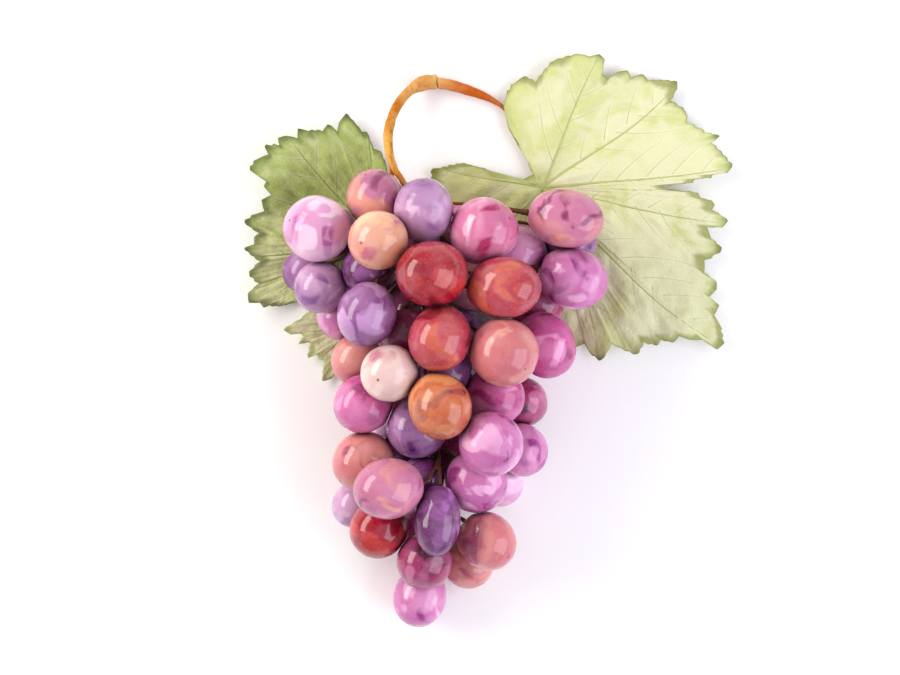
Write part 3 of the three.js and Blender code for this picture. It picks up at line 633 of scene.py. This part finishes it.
def vein_courses(plan, rim, sizes, draw):
    """Main veins and their branches as (points, half widths), about the junction."""
    courses = []
    mains = sorted((math.radians(angle) % math.tau, mm(length)) for angle, length in plan["veins"])
    for number, (angle, length) in enumerate(mains):
        before = mains[number - 1][0] - (math.tau if number == 0 else 0)
        after = mains[(number + 1) % len(mains)][0] + (math.tau if number == len(mains) - 1 else 0)
        bend = math.radians(draw.uniform(-4, 4))
        reach = min(length, 0.97 * rim_reach(rim, angle))
        shares = np.linspace(0, 1, 26)
        angles = angle + bend * np.sin(shares * math.pi)
        points = np.stack([np.cos(angles), np.sin(angles)], 1) * (shares * reach)[:, None]
        widths = sizes.vein_width / 2 * (1 - 0.8 * shares)
        courses.append((points, widths))
        along = mm(draw.uniform(9, 14))
        side = draw.choice((-1, 1))
        while along < 0.93 * reach:
            share = along / reach
            root = np.array((math.cos(angle), math.sin(angle))) * along
            heading = angle + side * math.radians(draw.uniform(43, 50))
            limit = (after if side > 0 else before) * 0.5 + angle * 0.5
            branch = [root]
            for _ in range(60):
                heading -= side * math.radians(0.7)
                point = branch[-1] + mm(1.0) * np.array((math.cos(heading), math.sin(heading)))
                place = math.atan2(point[1], point[0])
                turned = angle + (place - angle + math.pi) % math.tau - math.pi
                if side * (turned - limit) > 0:
                    break
                if np.hypot(*point) > 0.97 * rim_reach(rim, place):
                    break
                branch.append(point)
            if len(branch) > 4:
                fade = np.linspace(1, 0.2, len(branch))
                widths = sizes.vein_width * 0.15 * (1 - 0.5 * share) * fade
                courses.append((np.array(branch), widths))
            along += mm(draw.uniform(4.5, 7.5))
            side = -side
    return courses


def tooth_tips(rim, sizes):
    """How far each point of the rim stands out from the outline around it, from 0 to 1."""
    reach = np.hypot(*rim.T)
    span = round(mm(5) / sizes.spacing)
    around = np.mean([np.roll(reach, turn) for turn in range(-span, span + 1)], axis=0)
    return np.clip((reach - around) / mm(2.2), 0, 1)


def distance_to_veins(places, courses):
    """Each place's distance to the nearest vein."""
    nearest = np.full(len(places), np.inf)
    for points, _ in courses:
        for start, end in zip(points[:-1], points[1:]):
            line = end - start
            share = np.clip((places - start) @ line / (line @ line), 0, 1)
            nearest = np.minimum(nearest, np.hypot(*(places - start - share[:, None] * line).T))
    return nearest


def smoothed(heights, passes):
    """Evens out heights on the rings and spokes of a blade."""
    for _ in range(passes):
        sides = (np.roll(heights, 1, 1) + np.roll(heights, -1, 1)) / 2
        padded = np.vstack([heights[:1], heights, heights[-1:]])
        ends = (padded[:-2] + padded[2:]) / 2
        heights = (heights + sides + ends) / 3
    return heights


def blade_heights(node, places, spokes, ceiling):
    """The CAD blade's top at each place, evened out and kept under the berries."""
    tree = cad_tree([node])
    above = Vector((0, 0, OVERHEAD))
    heights = np.full(len(places), np.nan)
    for i, (x, y) in enumerate(places):
        hit = tree.ray_cast(Vector((x, y, 0)) + above, -UP)[0]
        if hit is not None:
            heights[i] = hit.z
    grid = heights.reshape(-1, spokes)
    for ring in range(1, len(grid)):
        grid[ring] = np.where(np.isnan(grid[ring]), grid[ring - 1], grid[ring])
    grid = smoothed(np.nan_to_num(grid, nan=mm(1)), 34)
    return np.minimum(grid.ravel(), ceiling)


def room_above(places, tree):
    """How high a blade may lie at each place, below whatever is over it."""
    heights = np.full(len(places), OVERHEAD)
    for i, (x, y) in enumerate(places):
        hit = tree.ray_cast(Vector((x, y, 0)), UP)[0]
        if hit is not None:
            heights[i] = hit.z - mm(0.3) - 0.15 * max(0.0, hit.z - mm(1.05))
    return heights


def model_veins(name, courses, junction, surface):
    """Tapering ribs along the veins, half sunk in the blade."""
    curve = bpy.data.curves.new(name, "CURVE")
    curve.dimensions = "3D"
    curve.bevel_depth = 1.0
    curve.bevel_resolution = 1
    for points, widths in courses:
        spline = curve.splines.new("POLY")
        spline.points.add(len(points) - 1)
        for target, (x, y), width in zip(spline.points, points + junction, widths):
            hit = surface.ray_cast(Vector((x, y, OVERHEAD)), -UP)[0]
            height = hit.z if hit is not None else mm(1)
            target.co = (x, y, height - width * 0.45, 1)
            target.radius = width
    veins = bpy.data.objects.new(name, curve)
    bpy.context.scene.collection.objects.link(veins)
    make_active(veins)
    bpy.ops.object.convert(target="MESH")
    points = points_of(bpy.context.object.data)
    points[:, 2] = np.maximum(points[:, 2], FLOOR_GAP)
    set_points(bpy.context.object.data, points)
    return bpy.context.object


def model_blade(node, plan, sizes, over):
    """A blade from a grid bent round the junction, with its relief, its thickness and its veins."""
    draw = Random(plan["seed"])
    junction, corners = read_rim(node, plan)
    plain, toothed = fine_rim(corners, sizes, draw)
    spokes = len(plain)
    rings = max(12, round(float(np.hypot(*plain.T).max()) / sizes.spacing * 0.72))
    shares = np.linspace(0, 1, rings + 1)[:, None, None]
    flat = (plain[None] * np.minimum(shares, 0.985)).reshape(-1, 2)
    courses = vein_courses(plan, plain, sizes, draw)
    distance = distance_to_veins(flat, courses)
    inset = (1 - shares[:, :, 0]) * np.hypot(*plain.T)[None]
    offset = Vector((plan["seed"] * 3.7, 0, 0))
    crumple = np.array([
        noise.fractal(Vector((x, y, 0)) * 90 + offset, 1.0, 2.0, 3) for x, y in flat])
    ceiling = room_above(flat + junction, over)
    heights = blade_heights(node, flat + junction, spokes, ceiling)
    relief = sizes.quilting * (1 - np.exp(-(distance / mm(2.6)) ** 2))
    edge = np.exp(-inset.ravel() / mm(5))
    curl = mm(1.6) * edge * np.array([
        noise.noise(Vector((x, y, 0)) * 45 + offset * 2) for x, y in flat])
    heights = heights + relief - sizes.quilting * 0.6 + mm(0.7) * crumple + curl
    heights = np.clip(heights, sizes.thickness + FLOOR_GAP, np.maximum(ceiling, mm(0.5)))

    deselect_all()
    bpy.ops.mesh.primitive_grid_add(x_subdivisions=spokes, y_subdivisions=rings, size=1)
    piece = bpy.context.object
    piece.name = f"{node}_blade"
    columns = np.arange(spokes + 1) % spokes
    shape = (rings + 1, spokes)
    spread = (toothed[None] * shares).reshape(-1, 2) + junction
    points = np.column_stack([spread, heights]).reshape(*shape, 3)
    set_points(piece.data, points[:, columns].reshape(-1, 3))
    # Partly painted shade: the tone by angle makes some lobe halves a darker green than others.
    greens_and_shades = np.interp(
        np.degrees(np.arctan2(flat[:, 1], flat[:, 0])), *np.array(plan["greens_and_shades"]).T)
    tips = tooth_tips(toothed, sizes)[None] * np.exp(-inset / mm(4))
    attributes = (
        ("vein", distance), ("rim", inset.ravel()), ("tone", greens_and_shades), ("tip", tips.ravel()))
    for name, values in attributes:
        set_attribute(piece.data, name, values.reshape(shape)[:, columns].ravel())
    set_attribute(piece.data, "rib", np.zeros(len(piece.data.vertices)))
    bpy.ops.object.mode_set(mode="EDIT")
    bpy.ops.mesh.select_all(action="SELECT")
    bpy.ops.mesh.remove_doubles(threshold=mm(0.004))
    bpy.ops.mesh.normals_make_consistent(inside=False)
    bpy.ops.object.mode_set(mode="OBJECT")
    if sum(face.normal.z * face.area for face in piece.data.polygons) < 0:
        piece.data.flip_normals()
    surface = BVHTree.FromPolygons(
        [vertex.co.copy() for vertex in piece.data.vertices],
        [list(face.vertices) for face in piece.data.polygons])
    apply_modifier(piece, "SOLIDIFY", thickness=sizes.thickness, offset=-1.0)
    veins = model_veins(f"{node}_veins", courses, junction, surface)
    for name, value in (
            ("vein", 0.0), ("rim", mm(9)), ("tone", 0.5), ("tip", 0.0), ("rib", 1.0)):
        set_attribute(veins.data, name, np.full(len(veins.data.vertices), value))
    deselect_all()
    veins.select_set(True)
    piece.select_set(True)
    bpy.context.view_layer.objects.active = piece
    bpy.ops.object.join()
    return piece


def keep_petiole(piece):
    """Takes the blade away from a copy of a CAD leaf, and closes the petiole's end."""
    points = points_of(piece.data)
    keys = {}
    for i, (x, y, z) in enumerate(points):
        keys.setdefault((round(float(x), 5), round(float(y), 5)), []).append((float(z), i))
    blade = set()
    for group in keys.values():
        group.sort()
        for (low, i), (high, j) in zip(group, group[1:]):
            if abs(high - low - CAD_BLADE) < mm(0.04):
                blade.update((i, j))
    select_points(piece, blade)
    bpy.ops.mesh.delete(type="VERT")
    bpy.ops.mesh.select_all(action="SELECT")
    bpy.ops.mesh.fill_holes(sides=0)
    bpy.ops.mesh.normals_make_consistent(inside=False)
    bpy.ops.object.mode_set(mode="OBJECT")


class GRAPES_OT_leaves(bpy.types.Operator):
    """Model each leaf blade from a grid, with teeth, relief and veins, over its CAD node"""

    bl_idname = "grapes.leaves"
    bl_label = "Leaf blades"

    def execute(self, context):
        sizes = context.scene.grapes_leaf
        over = cad_tree(BERRIES + ["stem"])
        for node, plan in LEAF_PLANS.items():
            piece = model_blade(node, plan, sizes, over)
            finish_piece(piece, [node], vine_leaf(node, BLADES[node]))
        return {"FINISHED"}


# Vine leaf: matte, with washes of pale and darker green, the darker partly painted shade on the
# lobe halves turned from the light, olive along the teeth, fine dark veins with a paler streak
# beside them, and a net of tiny veins that puckers the surface.
def vine_leaf(name, codes):
    pale, green, olive = (linear(code) for code in codes)
    material, tree, output, place = new_material(f"vine_{name}")

    def calculated(operation, first, second):
        return add_node(tree, "ShaderNodeMath", {0: first, 1: second},
                        operation=operation).outputs["Value"]

    vein, rim, tone, tip, rib = (
        stored(tree, name) for name in ("vein", "rim", "tone", "tip", "rib"))
    washes = add_node(tree, "ShaderNodeTexNoise", {
        "Vector": place, "Scale": 1 / mm(16), "Detail": 3.0, "Roughness": 0.5, "Distortion": 0.8})
    toned = calculated("ADD", calculated("MULTIPLY", tone, 1.1), calculated(
        "MULTIPLY", calculated("SUBTRACT", washes.outputs["Fac"], 0.5), 1.9))
    body = ramped(
        tree, toned, (0.08, pale), (0.3, mix_codes(codes[0], codes[1], 0.4)),
        (0.36, mix_codes(codes[0], codes[1], 0.7)), (0.62, green),
        (0.95, mix_codes(codes[1], codes[2], 0.5)))
    mottle = add_node(tree, "ShaderNodeTexNoise", {
        "Vector": place, "Scale": 1 / mm(3.5), "Detail": 5.0, "Roughness": 0.6})
    mottled = mixed(
        tree, ramped(tree, mottle.outputs["Fac"], (0.45, grey(0.0)), (0.72, grey(0.2))), body, pale)
    streak = ramped(
        tree, calculated("DIVIDE", vein, mm(4.0)), (0.06, grey(0.22)), (0.3, grey(0.0)))
    streaked = mixed(tree, streak, mottled, mix_codes(codes[0], "f2f2dc", 0.5))
    ragged = calculated("ADD", calculated("DIVIDE", rim, mm(10)), calculated(
        "MULTIPLY", calculated("SUBTRACT", washes.outputs["Fac"], 0.5), 1.6))
    band = ramped(
        tree, ragged, (0.04, grey(0.75)), (0.17, grey(0.5)), (0.24, grey(0.3)), (0.38, grey(0.0)))
    banded = mixed(tree, band, streaked, olive)
    edge = ramped(tree, calculated("DIVIDE", rim, mm(2.0)), (0.1, grey(0.5)), (0.35, grey(0.0)))
    edged = mixed(tree, edge, banded, mix_codes(codes[2], "3c3410", 0.35))
    tipped = mixed(
        tree, ramped(tree, tip, (0.12, grey(0.0)), (0.6, grey(0.75))), edged,
        mix_codes(codes[2], "3c3410", 0.4))
    colour = mixed(tree, rib, tipped, mix_codes(codes[1], codes[2], 0.35))
    net = add_node(tree, "ShaderNodeTexVoronoi", {
        "Vector": place, "Scale": 1 / mm(1.9)}, feature="DISTANCE_TO_EDGE")
    pucker = add_node(tree, "ShaderNodeBump", {
        "Height": ramped(tree, net.outputs["Distance"], (0.0, grey(0.0)), (0.25, grey(1.0))),
        "Strength": 0.35, "Distance": mm(0.18)})
    grain = add_node(tree, "ShaderNodeTexNoise", {
        "Vector": place, "Scale": 1 / mm(0.7), "Detail": 4.0})
    bump = add_node(tree, "ShaderNodeBump", {
        "Height": grain.outputs["Fac"], "Strength": 0.2, "Distance": mm(0.1),
        "Normal": pucker.outputs["Normal"]})
    roughness = add_node(tree, "ShaderNodeMapRange", {
        "Value": mottle.outputs["Fac"], "From Min": 0.3, "From Max": 0.7, "To Min": 0.5,
        "To Max": 0.68})
    shader = add_node(tree, "ShaderNodeBsdfPrincipled", {
        "Base Color": colour, "Roughness": roughness.outputs["Result"], "IOR": 1.4,
        "Normal": bump.outputs["Normal"], "Subsurface Weight": 0.12,
        "Subsurface Radius": (0.6, 1.0, 0.2), "Subsurface Scale": mm(0.6)})
    tree.links.new(shader.outputs["BSDF"], output.inputs["Surface"])
    return material


# ------------------------------------------------------------------ the stalk and the petioles


def smooth_wood(piece, voxel, passes):
    """Remakes a piece's surface in even small faces, and rounds its facets off."""
    apply_modifier(piece, "REMESH", mode="VOXEL", voxel_size=voxel, adaptivity=0.0)
    apply_modifier(piece, "SMOOTH", factor=0.5, iterations=passes)


def add_grain(piece, ridges, knobs, elbow, shade_line):
    """Raises ridges along the wood and knobs near the elbow, and marks where its colour changes and
    where painted shade darkens it.
    """
    mesh = piece.data
    points = points_of(mesh)
    normals = np.empty(len(points) * 3)
    mesh.vertices.foreach_get("normal", normals)
    normals = normals.reshape(-1, 3)
    near = np.exp(-(np.sqrt(((points - elbow) ** 2).sum(1)) / mm(7.5)) ** 2)
    raised = np.empty(len(points))
    for i, point in enumerate(points):
        place = Vector(point)
        fibre = noise.noise(Vector((place.x * 620, place.y * 160, place.z * 620)))
        swelling = noise.noise(place * 260 + Vector((4, 4, 4)))
        knob = max(0.0, noise.noise(place * 330 + Vector((9, 1, 5))))
        raised[i] = ridges * fibre + ridges * 0.9 * swelling + knobs * near[i] * knob
    moved = points + normals * raised[:, None]
    moved[:, 2] = np.maximum(moved[:, 2], FLOOR_GAP)
    set_points(mesh, moved)
    set_attribute(mesh, "elbow", near)
    up = points[:, 1] - shade_line
    set_attribute(mesh, "shade", np.clip(-up / SHADE_DEPTH, 0, 1))
    set_attribute(mesh, "golden", np.exp(-((up - mm(16)) / mm(9)) ** 2))


def close_joint(piece, elbow):
    """Draws the thick end of a petiole into the elbow that it grows from."""
    points = points_of(piece.data)
    near = np.exp(-(np.sqrt(((points - elbow) ** 2).sum(1)) / mm(3)) ** 2)
    points[:, 0] -= mm(2.0) * near
    set_points(piece.data, points)


class GRAPES_OT_stalk(bpy.types.Operator):
    """Model the woody stalk and the leaves' petioles over their CAD nodes"""

    bl_idname = "grapes.stalk"
    bl_label = "Stalk and petioles"

    def execute(self, context):
        sizes = context.scene.grapes_stalk
        codes = (sizes.wood, sizes.bark, sizes.straw_and_highlight)
        stalk = merged_copy("stem", "stalk")
        elbow = max(points_of(stalk.data), key=lambda point: point[0] * 0.25 + point[1])
        smooth_wood(stalk, sizes.voxel, 5)
        add_grain(stalk, sizes.ridges, sizes.knobs, elbow, sizes.shade_line)
        finish_piece(stalk, ["stem"], woody_stalk("vine_stalk", codes, 0.35))
        for node in LEAF_PLANS:
            petiole = merged_copy(node, node.replace("leaf", "petiole"))
            keep_petiole(petiole)
            smooth_wood(petiole, sizes.voxel * 0.8, 4)
            close_joint(petiole, elbow)
            add_grain(petiole, sizes.ridges * 0.6, sizes.knobs * 0.5, elbow, sizes.shade_line)
            material = woody_stalk(f"petiole_{node[5:]}", (sizes.petiole, *codes[1:]), 0.1)
            finish_piece(petiole, [node], material)
        return {"FINISHED"}


# Green wood turning ochre: fibres run along it, with brown furrows, a straw-coloured elbow,
# random pale patches of painted highlight, a golden middle, a foot darkened with painted shade
# where it goes in among the berries, and small corky flecks.
def woody_stalk(name, colours, pale_share):
    material, tree, output, place = new_material(name)
    wood, bark, straw_and_highlight = (tuple(colour) + (1.0,) for colour in colours)
    shadow = linear("47281f")

    def share_of(name, share):
        return add_node(tree, "ShaderNodeMath", {0: stored(tree, name), 1: share},
                        operation="MULTIPLY").outputs["Value"]

    stretched = add_node(tree, "ShaderNodeMapping", {"Vector": place, "Scale": (1.0, 0.28, 1.0)})
    fibres = add_node(tree, "ShaderNodeTexNoise", {
        "Vector": stretched.outputs["Vector"], "Scale": 1 / mm(1.6), "Detail": 5.0,
        "Roughness": 0.6}).outputs["Fac"]
    patches = add_node(tree, "ShaderNodeTexNoise", {
        "Vector": place, "Scale": 1 / mm(7), "Detail": 2.0}).outputs["Fac"]
    # Painted highlight: random patches of the pale straw colour stand for light catching the wood.
    lit = ramped(tree, patches, (0.42, grey(0.0)), (0.62, grey(pale_share)))
    base = mixed(tree, lit, wood, straw_and_highlight)
    golden = mixed(tree, share_of("golden", 0.65), base, linear("deaa42"))
    furrows = ramped(tree, fibres, (0.36, grey(0.55)), (0.47, grey(0.0)))
    furrowed = mixed(tree, furrows, golden, bark)
    pale = mixed(tree, share_of("elbow", 0.5), furrowed, straw_and_highlight)
    # Painted shade: the wood darkens to a deep brown where it goes in among the berries.
    shaded = mixed(tree, share_of("shade", 0.9), pale, shadow)
    flecks = add_node(tree, "ShaderNodeTexVoronoi", {"Vector": place, "Scale": 1 / mm(1.3)})
    fleck = ramped(tree, flecks.outputs["Distance"], (0.1, grey(0.45)), (0.18, grey(0.0)))
    colour = mixed(tree, fleck, shaded, bark)
    bump = add_node(tree, "ShaderNodeBump", {
        "Height": fibres, "Strength": 0.5, "Distance": mm(0.25)})
    roughness = add_node(tree, "ShaderNodeMapRange", {
        "Value": fibres, "From Min": 0.35, "From Max": 0.65, "To Min": 0.75, "To Max": 0.5})
    shader = add_node(tree, "ShaderNodeBsdfPrincipled", {
        "Base Color": colour, "Roughness": roughness.outputs["Result"], "IOR": 1.45,
        "Specular IOR Level": 0.25, "Normal": bump.outputs["Normal"]})
    tree.links.new(shader.outputs["BSDF"], output.inputs["Surface"])
    return material


# ------------------------------------------------------------------ the stage


def add_area_light(name, at, aim, size, power, colour):
    light = bpy.data.lights.new(name, "AREA")
    light.shape = "RECTANGLE"
    light.size, light.size_y = size
    light.energy = power
    light.color = linear(colour)[:3]
    lamp = bpy.data.objects.new(name, light)
    bpy.context.scene.collection.objects.link(lamp)
    lamp.location = at
    lamp.rotation_euler = (aim - Vector(at)).to_track_quat("-Z", "Y").to_euler()


class GRAPES_OT_stage(bpy.types.Operator):
    """Set the camera straight above the bunch, a softbox, a fill light and a pale floor"""

    bl_idname = "grapes.stage"
    bl_label = "Camera, lights and floor"

    def execute(self, context):
        scene = context.scene
        sizes = scene.grapes_stage
        low, high = (np.array(corner) for corner in CAD_BOX)
        middle = Vector((low + high) / 2)
        camera_data = bpy.data.cameras.new("Camera")
        camera_data.lens = sizes.lens
        camera = bpy.data.objects.new("Camera", camera_data)
        scene.collection.objects.link(camera)
        distance = sizes.view_width * sizes.lens / camera_data.sensor_width
        camera.location = (middle.x - sizes.beside, middle.y + mm(0.8), middle.z + distance)
        camera_data.clip_end = 10.0
        scene.camera = camera
        add_area_light("Key", (-0.8, 0.36, 0.5), middle, (1.1, 0.42), sizes.key_power, "fffaf2")
        add_area_light("Fill", (0.8, -0.25, 0.6), middle, (1.1, 0.9), sizes.fill_power, "f2f4ff")
        world = bpy.data.worlds.new("Sky")
        world.use_nodes = True
        sky = world.node_tree.nodes["Background"]
        sky.inputs["Color"].default_value = linear("fcfcff")
        sky.inputs["Strength"].default_value = sizes.sky
        scene.world = world
        scene.view_settings.view_transform = "Standard"
        deselect_all()
        bpy.ops.mesh.primitive_plane_add(size=4.0, location=(0, 0, float(low[2])))
        floor = bpy.context.object
        floor.name = "floor"
        floor.data.materials.append(paper_floor(sizes))
        return {"FINISHED"}


# White studio paper: matte, with the faintest tooth.
def paper_floor(sizes):
    material, tree, output, place = new_material("floor_paper")
    tooth = add_node(tree, "ShaderNodeTexNoise", {
        "Vector": place, "Scale": 1 / mm(0.8), "Detail": 4.0})
    bump = add_node(tree, "ShaderNodeBump", {
        "Height": tooth.outputs["Fac"], "Strength": 0.15, "Distance": mm(0.1)})
    shader = add_node(tree, "ShaderNodeBsdfPrincipled", {
        "Base Color": tuple(sizes.floor) + (1.0,), "Roughness": 0.9,
        "Normal": bump.outputs["Normal"]})
    tree.links.new(shader.outputs["BSDF"], output.inputs["Surface"])
    return material


# ------------------------------------------------------------------ the panel and registration


class GRAPES_PT_panel(bpy.types.Panel):
    """The operators and sizes of the bunch, in the sidebar"""

    bl_idname = "GRAPES_PT_panel"
    bl_label = "Bunch of Grapes"
    bl_space_type = "VIEW_3D"
    bl_region_type = "UI"
    bl_category = "Grapes"

    def draw(self, context):
        for operator, settings in STEPS:
            box = self.layout.box()
            box.operator(operator)
            group = getattr(context.scene, settings)
            for name in group.__annotations__:
                box.prop(group, name)


STEPS = (
    ("grapes.berries", "grapes_berry"), ("grapes.leaves", "grapes_leaf"),
    ("grapes.stalk", "grapes_stalk"), ("grapes.stage", "grapes_stage"),
)
SETTINGS = {
    "grapes_berry": GrapesBerrySettings, "grapes_leaf": GrapesLeafSettings,
    "grapes_stalk": GrapesStalkSettings, "grapes_stage": GrapesStageSettings,
}
CLASSES = (
    *SETTINGS.values(), GRAPES_OT_berries, GRAPES_OT_leaves, GRAPES_OT_stalk, GRAPES_OT_stage,
    GRAPES_PT_panel,
)


def register():
    for cls in CLASSES:
        bpy.utils.register_class(cls)
    for name, cls in SETTINGS.items():
        setattr(bpy.types.Scene, name, bpy.props.PointerProperty(type=cls))


def unregister():
    for name in SETTINGS:
        delattr(bpy.types.Scene, name)
    for cls in reversed(CLASSES):
        bpy.utils.unregister_class(cls)


def main():
    register()
    bpy.ops.grapes.berries()
    bpy.ops.grapes.leaves()
    bpy.ops.grapes.stalk()
    bpy.ops.grapes.stage()


if __name__ == "__main__":
    main()
